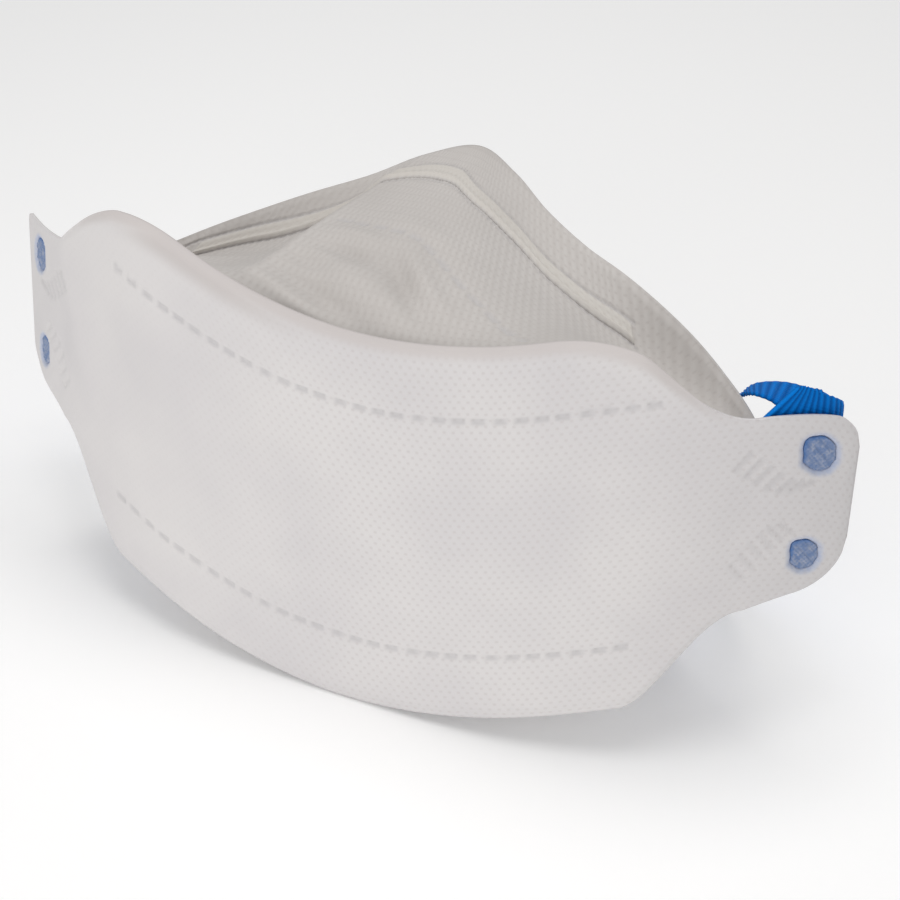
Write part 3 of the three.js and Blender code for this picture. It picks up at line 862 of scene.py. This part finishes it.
# Soft creases of the fleece inside the arch, each a line over the panel with a rise.
topCreases = table(
    "fromAcross fromOut toAcross toOut width rise",
    (-0.17, 0.31, -0.03, 0.26, 0.026, -1.3), (-0.20, 0.40, -0.05, 0.36, 0.030, 1.0),
    (-0.02, 0.34, 0.11, 0.09, 0.026, -1.6), (0.02, 0.37, 0.15, 0.13, 0.026, 1.0),
    (-0.12, 0.24, 0.08, 0.09, 0.060, 2.0), (-0.22, 0.17, 0.00, 0.05, 0.028, -1.3),
    (-0.24, 0.10, -0.06, 0.02, 0.030, 1.3), (-0.22, 0.26, -0.13, 0.18, 0.030, -1.1),
    (-0.05, 0.50, 0.12, 0.42, 0.050, 0.7),
)
archLine = table("across out", (-0.22, 0.47), (-0.177, 0.455), (-0.12, 0.44), (-0.06, 0.437), (-0.01, 0.43),
                 (0.035, 0.41), (0.098, 0.354), (0.158, 0.29), (0.216, 0.227), (0.254, 0.158), (0.296, 0.09))


def lineDistance(across, out, a0, o0, a1, o1):
    lengthwise = (across - a0) * (a1 - a0) + (out - o0) * (o1 - o0)
    part = min(1, max(0, lengthwise / ((a1 - a0) ** 2 + (o1 - o0) ** 2)))
    return math.hypot(across - a0 - part * (a1 - a0), out - o0 - part * (o1 - o0)), part


def creaseRise(across, out):
    rise = 0.0
    for row in topCreases:
        away, part = lineDistance(across, out, row["fromAcross"], row["fromOut"],
                                  row["toAcross"], row["toOut"])
        rise += row["rise"] * math.exp(-(away / row["width"]) ** 2) * (0.35 + 0.65 * math.sin(math.pi * part))
    return rise


archWeld = {"pitch": 0.075, "stretch": 1.4, "reach": 0.02, "half": 0.005, "softness": 0.01}


# Dashes of the arch weld, counted along the line in shares of the panel.
def archMark(across, out):
    best, run = 0.0, 0.0
    for low, high in zip(archLine, archLine[1:]):
        span = math.hypot((high["across"] - low["across"]) * archWeld["stretch"], high["out"] - low["out"])
        away, part = lineDistance(across, out, low["across"], low["out"], high["across"], high["out"])
        if away < archWeld["reach"]:
            gap = abs(((run + part * span) / archWeld["pitch"]) % 1 - 0.5)
            line = dent(max(0, away - archWeld["half"]), archWeld["softness"])
            best = max(best, line * (1 - smooth(gap, 0.3, 0.4)))
        run += span
    return best


def settleTop(point, across, out):
    middle = max(0, 1 - (across / topShape["puffShare"]) ** 2)
    facet = valley(-across) if across < 0 else hollow(across)
    puff = topShape["puff"] * middle * middle * math.sin(math.pi * out) * (1 - out) * 2
    deep = math.sin(math.pi * out ** 1.2)
    if across < 0:
        deep = max(deep, math.sin(math.pi * out ** topShape["valleyStart"]))
    point.z += puff - topShape["dip"] * max(0, facet) * deep
    return point


noseStrip = {
    "width": 5.6,
    "thickness": 1.0,
    "left": -0.64,          # its ends, as shares of the panel's half width
    "right": 0.54,
    "weldAside": 0.5,       # fine welds beside the strip
    "weldDots": 1.5,
    "halfLength": 95,       # about the length of half the panel
}
stripInsets = table(
    "across inset",
    (-0.64, 6.6), (-0.5, 8.5), (-0.38, 10.2), (-0.2, 11.4), (0, 13), (0.13, 17.4), (0.3, 16.6),
    (0.45, 13.3), (0.6, 11.2),
)


# How far inside the nose edge the strip's centre line runs.
def stripInset(across):
    return smoothly(stripInsets, "across", "inset", max(-0.66, min(0.66, across)))


def settleChin(point, across, out):
    point.z = max(point.z, topShape["thickness"] / 2)
    return point


topSurface = foldedSurface(topRulings, noseEdge, topShape["seamEnd"], settleTop)
chinSurface = foldedSurface(chinRulings, chinEdge, chinSeamEnd, settleChin)


# The flat place of a folded panel's point: how far along the seam, and how far from it.
def foldedCut(surface, rulings):
    lengths = {}

    def cut(across, out):
        key = round(across, 5)
        if key not in lengths:
            steps = [surface(across, step / 6) for step in range(7)]
            lengths[key] = sum((b - a).length for a, b in zip(steps, steps[1:]))
        along = math.copysign(between(rulings, "share", "along", abs(across)), across)
        return along, out * lengths[key]

    return cut


topCut = foldedCut(topSurface, topRulings)
chinCut = foldedCut(chinSurface, chinRulings)


# The outer edges are fused thin over a short reach.
foldedRim = {"half": 0.35, "reach": 2.2, "endLength": 60, "weldDepth": 0.4}


def rimHalf(toEdge, across):
    toEnd = (1 - abs(across)) * foldedRim["endLength"] + 1
    full = topShape["thickness"] / 2
    return foldedRim["half"] + (full - foldedRim["half"]) * smooth(min(toEdge, toEnd), 0, foldedRim["reach"])


# Fine dotted welds run along both sides of the nose strip, and on towards the left tab.
def channelMark(across, away, total):
    if not -0.7 < across < noseStrip["right"] + 0.01:
        return 0.0
    best = 0.0
    middle = stripInset(across)
    offset = noseStrip["width"] / 2 + noseStrip["weldAside"]
    phase = (across * noseStrip["halfLength"] / noseStrip["weldDots"]) % 1
    dotted = 0.45 + 0.55 * (abs(phase - 0.5) < 0.3)
    for side in (1, -1):
        aside = abs(total - away - middle - side * offset)
        best = max(best, dent(max(0, aside - 0.15), 0.6) * dotted)
    return best


def topFaces(across, out):
    along, away = topCut(across, out)
    total = away / out if out > 0.001 else foldedRim["endLength"]
    half = rimHalf(total - away, across)
    weld = max(archMark(across, out), channelMark(across, away, total))
    lift = creaseRise(across, out)
    return half + lift - weld * foldedRim["weldDepth"], half - lift * 0.8, (weld, 0.0, 0.0)


def chinFaces(across, out):
    half = rimHalf((1 - out) * 50, across)
    inner = topShape["thickness"] / 2
    return half, inner if abs(across) < 0.5 else half, (0.0, 0.0, 0.0)


def makeFolded():
    top = sheetPiece("nosePanel", evenStops(350, -1, 1), evenStops(110), topSurface, topCut, topFaces,
                     ("weld", "stain", "shade"), topMaterial)
    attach(top, "root")
    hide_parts("top_panel")
    chin = sheetPiece("chinPanel", evenStops(200, -1, 1), evenStops(60), chinSurface, chinCut, chinFaces,
                      ("weld", "stain", "shade"), panelMaterial)
    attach(chin, "root")
    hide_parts("chin_panel")
    print("stage: folded panels,", len(top.data.polygons) + len(chin.data.polygons), "faces")


makeFolded()

# Nose strip.


def stripMiddle(across, out):
    length = topCut(across, 1)[1]
    share = 1 - (stripInset(across) + noseStrip["width"] * (0.5 - out)) / length
    nudge = 0.004
    sideways = topSurface(across + nudge, share) - topSurface(across - nudge, share)
    outwards = topSurface(across, share + nudge) - topSurface(across, share - nudge)
    normal = sideways.cross(outwards).normalized()
    lift = topShape["thickness"] / 2 + noseStrip["thickness"] * 0.12
    return topSurface(across, share) + normal * lift


def stripCut(across, out):
    return across * noseStrip["halfLength"], out * noseStrip["width"]


# The strip's lower side stands up as a thin roll, the rest lies nearly flat.
def stripFaces(across, out):
    roll = math.exp(-((out - 0.24) / 0.16) ** 2)
    back = 0.3 * math.exp(-((out - 0.74) / 0.2) ** 2)
    rim = smooth(min(out, 1 - out), 0, 0.1)
    half = noseStrip["thickness"] / 2
    return half * (0.1 + rim * (0.25 + 1.1 * roll + back)), half * 0.8, (1 - rim, 0.0, 0.0)


def makeStrip():
    stops = evenStops(240, noseStrip["left"], noseStrip["right"])
    piece = sheetPiece("noseStrip", stops, evenStops(14), stripMiddle, stripCut, stripFaces,
                       ("weld", "stain", "shade"), stripMaterial)
    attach(piece, "root")
    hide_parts("nose_strip")
    print("stage: nose strip,", len(piece.data.polygons), "faces")


makeStrip()

# Straps.

strap = {
    "width": 12.4,
    "thickness": 1,
    "rib": 1.7,             # pitch of the cross ribs
    "ribRise": 0.24,
    "scallop": 0.26,        # how far the edges draw in between ribs
    "column": 0.42,
    "rows": 12,
    "measures": 1500,       # steps that measure the centre line
}
strapSeat = 1.55
strapFloor = 6.6
headRightTab = table(
    "along height depth tipAlong tipHeight tipDepth",
    (89.1, 67.5, strapSeat, 0.69, 0.72, 0), (93.6, 66.3, strapSeat, 0.33, 0.94, 0),
    (98, 65.6, strapSeat, 0.05, 1, 0), (102.4, 65, 1.7, 0, 1, 0), (105.6, 64, 3.3, 0, 1, 0),
    (107.2, 62.4, 6.4, 0, 1, 0.05), (106.4, 61, 9.8, 0.1, 0.96, 0.2),
)
headLeftTab = table(
    "along height depth tipAlong tipHeight tipDepth",
    (104.5, 53, 9.5, 0, -1, 0), (107, 56, 6, 0, -1, 0), (105, 57.2, 2.6, 0, -1, 0),
    (101, 57.2, strapSeat, 0, -1, 0), (95, 57, strapSeat, 0, -1, 0),
)
neckTab = table(
    "along height depth tipAlong tipHeight tipDepth",
    (94.2, 34.6, strapSeat, 0, 1, 0), (99.5, 34.6, strapSeat, 0, 1, 0), (103, 34.6, 2.4, 0, 1, 0),
    (105, 34.2, 5.5, 0, 1, 0), (103, 33.5, 9, 0, 1, 0),
)
headFree = table(
    "across back up tipX tipY tipZ",
    (86, 42.6, 70.6, 0, 0.8, 0.6), (83, 41.6, 74.4, 0, 0.97, 0), (78.6, 40.2, 77, -0.1, 0.95, -0.25),
    (74, 40.6, 76.2, -0.24, 0.88, -0.4), (69.6, 45, 70.6, -0.22, 0.78, -0.58), (61, 56, 56, 0, 0.6, -0.8),
    (50, 72, 36, 0.1, 0.2, -1), (36, 88, 17, 0, 0, -1), (18, 98, 7.8, 0, 0, -1),
    (0, 101, strapFloor, 0, 0, -1),
    (-18, 98.5, strapFloor, 0, 0, -1), (-38, 91, 10.2, 0, 0, -1), (-57, 78, 22, 0, 0, -1),
    (-72, 63, 38, 0, 0, -1), (-82, 51, 54, 0, 0, -1),
)
neckFree = table(
    "across back up tipX tipY tipZ",
    (79, 50, 34, 0, 0, 1), (68, 62, 18.6, 0, 0, 1), (52, 74, 9.2, 0, 0, 1), (28, 84, strapFloor, 0, 0, 1),
    (0, 88, strapFloor, 0, 0, 1),
)


def tabStation(side, row):
    at = wallPoint(side * row["along"], row["height"], row["depth"])
    tip = wallPoint(side * (row["along"] + row["tipAlong"]), row["height"] + row["tipHeight"],
                    row["depth"] + row["tipDepth"])
    return at, (tip - at).normalized()


def freeStation(side, row):
    tip = Vector((row["tipX"], row["tipY"], row["tipZ"])).normalized()
    return Vector((side * row["across"], row["back"], row["up"])), tip


def headStations():
    return ([tabStation(1, row) for row in headRightTab] + [freeStation(1, row) for row in headFree]
            + [tabStation(-1, row) for row in headLeftTab])


def neckStations():
    right = [tabStation(1, row) for row in neckTab] + [freeStation(1, row) for row in neckFree]
    left = [tabStation(-1, row) for row in neckTab] + [freeStation(-1, row) for row in neckFree]
    return right + left[:-1][::-1]


def strapPiece(name, node, stations):
    centre = SmoothCurve([at for at, tip in stations])
    edge = SmoothCurve([at + tip * strap["width"] / 2 for at, tip in stations])
    fine = strap["measures"]
    lengths = [0.0]
    for step in range(fine):
        lengths.append(lengths[-1] + (centre.at((step + 1) / fine) - centre.at(step / fine)).length)
    total = lengths[-1]
    columns = round(total / strap["column"])
    shares, step = [], 0
    for column in range(columns + 1):
        want = total * column / columns
        while step < fine - 1 and lengths[step + 1] < want:
            step += 1
        part = (want - lengths[step]) / max(1e-9, lengths[step + 1] - lengths[step])
        shares.append((step + min(1, part)) / fine)

    def ribAt(share):
        return 0.5 + 0.5 * math.cos(2 * math.pi * share * total / strap["rib"])

    def middle(share, out):
        curveShare = shares[round(share * columns)]
        at = centre.at(curveShare)
        tip = (edge.at(curveShare) - at).normalized()
        width = strap["width"] + 2 * strap["scallop"] * (ribAt(share) - 1)
        return at + tip * width * (out - 0.5)

    def cut(share, out):
        return share * total, out * strap["width"]

    def faces(share, out):
        side = math.sqrt(max(0.0, 1 - (2 * out - 1) ** 6))
        half = strap["thickness"] / 2 * (0.45 + 0.4 * side) + strap["ribRise"] * (ribAt(share) - 0.5) * side
        # The rib mark also sets the painted shade in the grooves between the ribs.
        return half, half, (ribAt(share),)

    piece = sheetPiece(name, evenStops(columns), evenStops(strap["rows"]), middle, cut, faces, ("rib",),
                       strapMaterial)
    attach(piece, "root")
    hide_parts(node)
    print("stage:", name, round(total), "mm long,", len(piece.data.polygons), "faces")


strapPiece("headBand", "head_strap", headStations())
strapPiece("neckBand", "neck_strap", neckStations())

# Weld spots.

spotPlan = {
    "thickness": 0.5,
    "rings": 12,
    "segments": 48,
    "skin": -0.32,          # its face, measured from the panel's middle surface
    "waffle": 4.6,
    "waffleRise": 0.1,
    "swell": 0.06,
}


# A thin fused disc in the pressed place of the fleece, with a waffled, uneven face.
def spotPiece(name, node, side, spot):
    bm = bmesh.new()
    bmesh.ops.create_circle(bm, cap_ends=True, segments=spotPlan["segments"], radius=1)
    inner = bm.faces[:]
    for ring in range(spotPlan["rings"] - 1):
        size = (spotPlan["rings"] - 1 - ring) / (spotPlan["rings"] - ring)
        bmesh.ops.inset_individual(bm, faces=inner, thickness=0)
        bmesh.ops.scale(bm, verts=list(inner[0].verts), vec=(size, size, 1))
    marks = bm.verts.layers.float.new("shade")
    uv = bm.loops.layers.uv.new("flatCut")
    grown = bmesh.ops.extrude_face_region(bm, geom=bm.faces[:], use_keep_orig=True)
    front = {item for item in grown["geom"] if isinstance(item, bmesh.types.BMVert)}
    for vert in bm.verts:
        turn, share = math.atan2(vert.co.y, vert.co.x), vert.co.length
        ragged = raggedRim(turn, spot)
        reach = spot["radius"] - ragged
        dx, dy = math.cos(turn) * reach * share, math.sin(turn) * reach * share
        dx = max(dx, -(spot["flat"] - ragged) * max(share, 0.05))
        vert[marks] = smooth(share, 0.7, 0.95) * smooth(dy - dx, 0, 3)
        for loop in vert.link_loops:
            loop[uv].uv = (dx / 100 + spot["height"] / 10 + side / 7, dy / 100)
        grid = spotPlan["waffle"]
        waffle = spotPlan["waffleRise"] * math.sin(dx * grid) * math.sin(dy * grid)
        waffle += spotPlan["swell"] * math.sin(dx * 1.7 + dy * 2.3)
        depth = spotPlan["skin"] + waffle if vert in front else spotPlan["skin"] + spotPlan["thickness"]
        place = wallPoint(side * (spot["along"] + dx), spot["height"] + dy, depth)
        vert.co = toFrame(place)
    for face in bm.faces:
        face.smooth = True
    bmesh.ops.recalc_face_normals(bm, faces=bm.faces[:])
    mesh = bpy.data.meshes.new(name)
    bm.to_mesh(mesh)
    bm.free()
    mesh.materials.append(weldMaterial)
    piece = bpy.data.objects.new(name, mesh)
    bpy.context.collection.objects.link(piece)
    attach(piece, "root")
    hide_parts(node)


for strapName, spot in spots.items():
    for sideName, side in (("left", -1), ("right", 1)):
        spotPiece(f"{strapName}Spot_{sideName}", f"{strapName}_weld_{sideName}", side, spot)
print("stage: fused spots")
